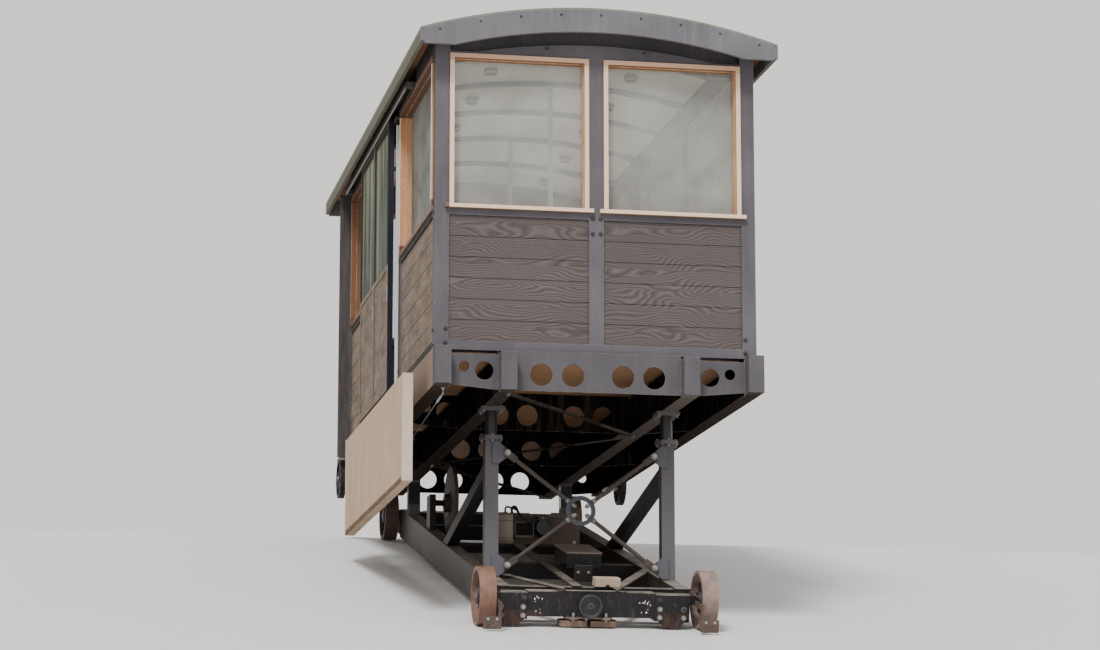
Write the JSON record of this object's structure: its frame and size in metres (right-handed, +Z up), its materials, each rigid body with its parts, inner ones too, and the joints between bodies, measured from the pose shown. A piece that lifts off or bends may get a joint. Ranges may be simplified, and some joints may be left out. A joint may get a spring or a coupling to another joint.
{
  "type": "inclined funicular car",
  "caption": "Level cabin of steel, planks and glass with sliding side doors, on a wedge-shaped underframe with spoked wheels for a sloping track.",
  "frame": {"origin": "on the rail-head plane of the sloping track, on its centre line, midway between the axles", "axes": "+X right as seen from downhill, +Y level and uphill, +Z up"},
  "size_m": [2.742, 5.892, 4.5897],
  "materials": {
    "underframe_paint": "matte",
    "grey_paint": "satin",
    "roof_sheet": "matte",
    "dark_planks": "matte",
    "window_timber": "satin",
    "window_glass": "gloss",
    "deck_plywood": "matte",
    "apron_timber": "matte",
    "rusty_iron": "matte",
    "buffer_rubber": "matte",
    "bare_metal": "satin",
    "unit_paint": "satin"
  },
  "bodies": {
    "car": {"chassis_frame": "underframe_paint", "chassis_flats": "underframe_paint", "headstocks": "underframe_paint", "buffer": "buffer_rubber", "rail_guide": "underframe_paint", "wheel_scrapers": "underframe_paint", "floor_posts": "grey_paint", "raking_struts": "underframe_paint", "cross_tie": "grey_paint", "pack_bed": "underframe_paint", "disc_pedestal": "underframe_paint", "brake_unit": "unit_paint", "control_box": "underframe_paint", "timber_block": "apron_timber", "floor_beams": "grey_paint", "floor_plates": "underframe_paint", "floor_deck": "deck_plywood", "floor_bracing": "underframe_paint", "side_wheel_axles": "underframe_paint", "front_wall_frame": "grey_paint", "rear_wall_frame": "grey_paint", "left_wall_frame": "grey_paint", "right_wall_frame": "grey_paint", "wall_panels": "dark_planks", "window_frames": "window_timber", "window_glass": "window_glass", "roof_shell": "roof_sheet", "roof_trim": "grey_paint", "roof_hoops": "grey_paint", "door_track": "bare_metal", "apron_board": "apron_timber", "apron_brackets": "underframe_paint", "grab_poles": "grey_paint"},
    "wheel_front_left": {"wheel_front_left": "rusty_iron"},
    "wheel_rear_left": {"wheel_rear_left": "rusty_iron"},
    "side_wheel_left": {"side_wheel_left": "rusty_iron"},
    "wheel_front_right": {"wheel_front_right": "rusty_iron"},
    "wheel_rear_right": {"wheel_rear_right": "rusty_iron"},
    "side_wheel_right": {"side_wheel_right": "rusty_iron"},
    "rope_disc": {"rope_disc": "underframe_paint"},
    "door_front": {"door_front_leaf": "grey_paint", "door_front_panel": "dark_planks", "door_front_glass": "window_glass"},
    "door_rear": {"door_rear_leaf": "grey_paint", "door_rear_panel": "dark_planks", "door_rear_glass": "window_glass"}
  },
  "joints": [
    {"name": "wheel_front_left_axle", "type": "hinge", "parent": "car", "child": "wheel_front_left", "pos_m": [-0.812, -2.57765, -0.40082], "axis": [1, 0, 0], "continuous": true},
    {"name": "wheel_rear_left_axle", "type": "hinge", "parent": "car", "child": "wheel_rear_left", "pos_m": [-0.812, 2.47867, 0.8131], "axis": [1, 0, 0], "continuous": true},
    {"name": "side_wheel_left_axle", "type": "hinge", "parent": "car", "child": "side_wheel_left", "pos_m": [-1.245, 2.42434, 1.11804], "axis": [1, 0, 0], "continuous": true},
    {"name": "wheel_front_right_axle", "type": "hinge", "parent": "car", "child": "wheel_front_right", "pos_m": [0.812, -2.57765, -0.40082], "axis": [1, 0, 0], "continuous": true},
    {"name": "wheel_rear_right_axle", "type": "hinge", "parent": "car", "child": "wheel_rear_right", "pos_m": [0.812, 2.47867, 0.8131], "axis": [1, 0, 0], "continuous": true},
    {"name": "side_wheel_right_axle", "type": "hinge", "parent": "car", "child": "side_wheel_right", "pos_m": [1.245, 2.42434, 1.11804], "axis": [1, 0, 0], "continuous": true},
    {"name": "rope_disc_shaft", "type": "hinge", "parent": "car", "child": "rope_disc", "pos_m": [-0.5, 0.95434, 0.73207], "axis": [1, 0, 0], "continuous": true},
    {"name": "door_front_slide", "type": "slide", "parent": "car", "child": "door_front", "axis": [0, -1, 0], "range_m": [0, 0.96]},
    {"name": "door_rear_slide", "type": "slide", "parent": "car", "child": "door_rear", "axis": [0, 1, 0], "range_m": [0, 0.96]}
  ]
}
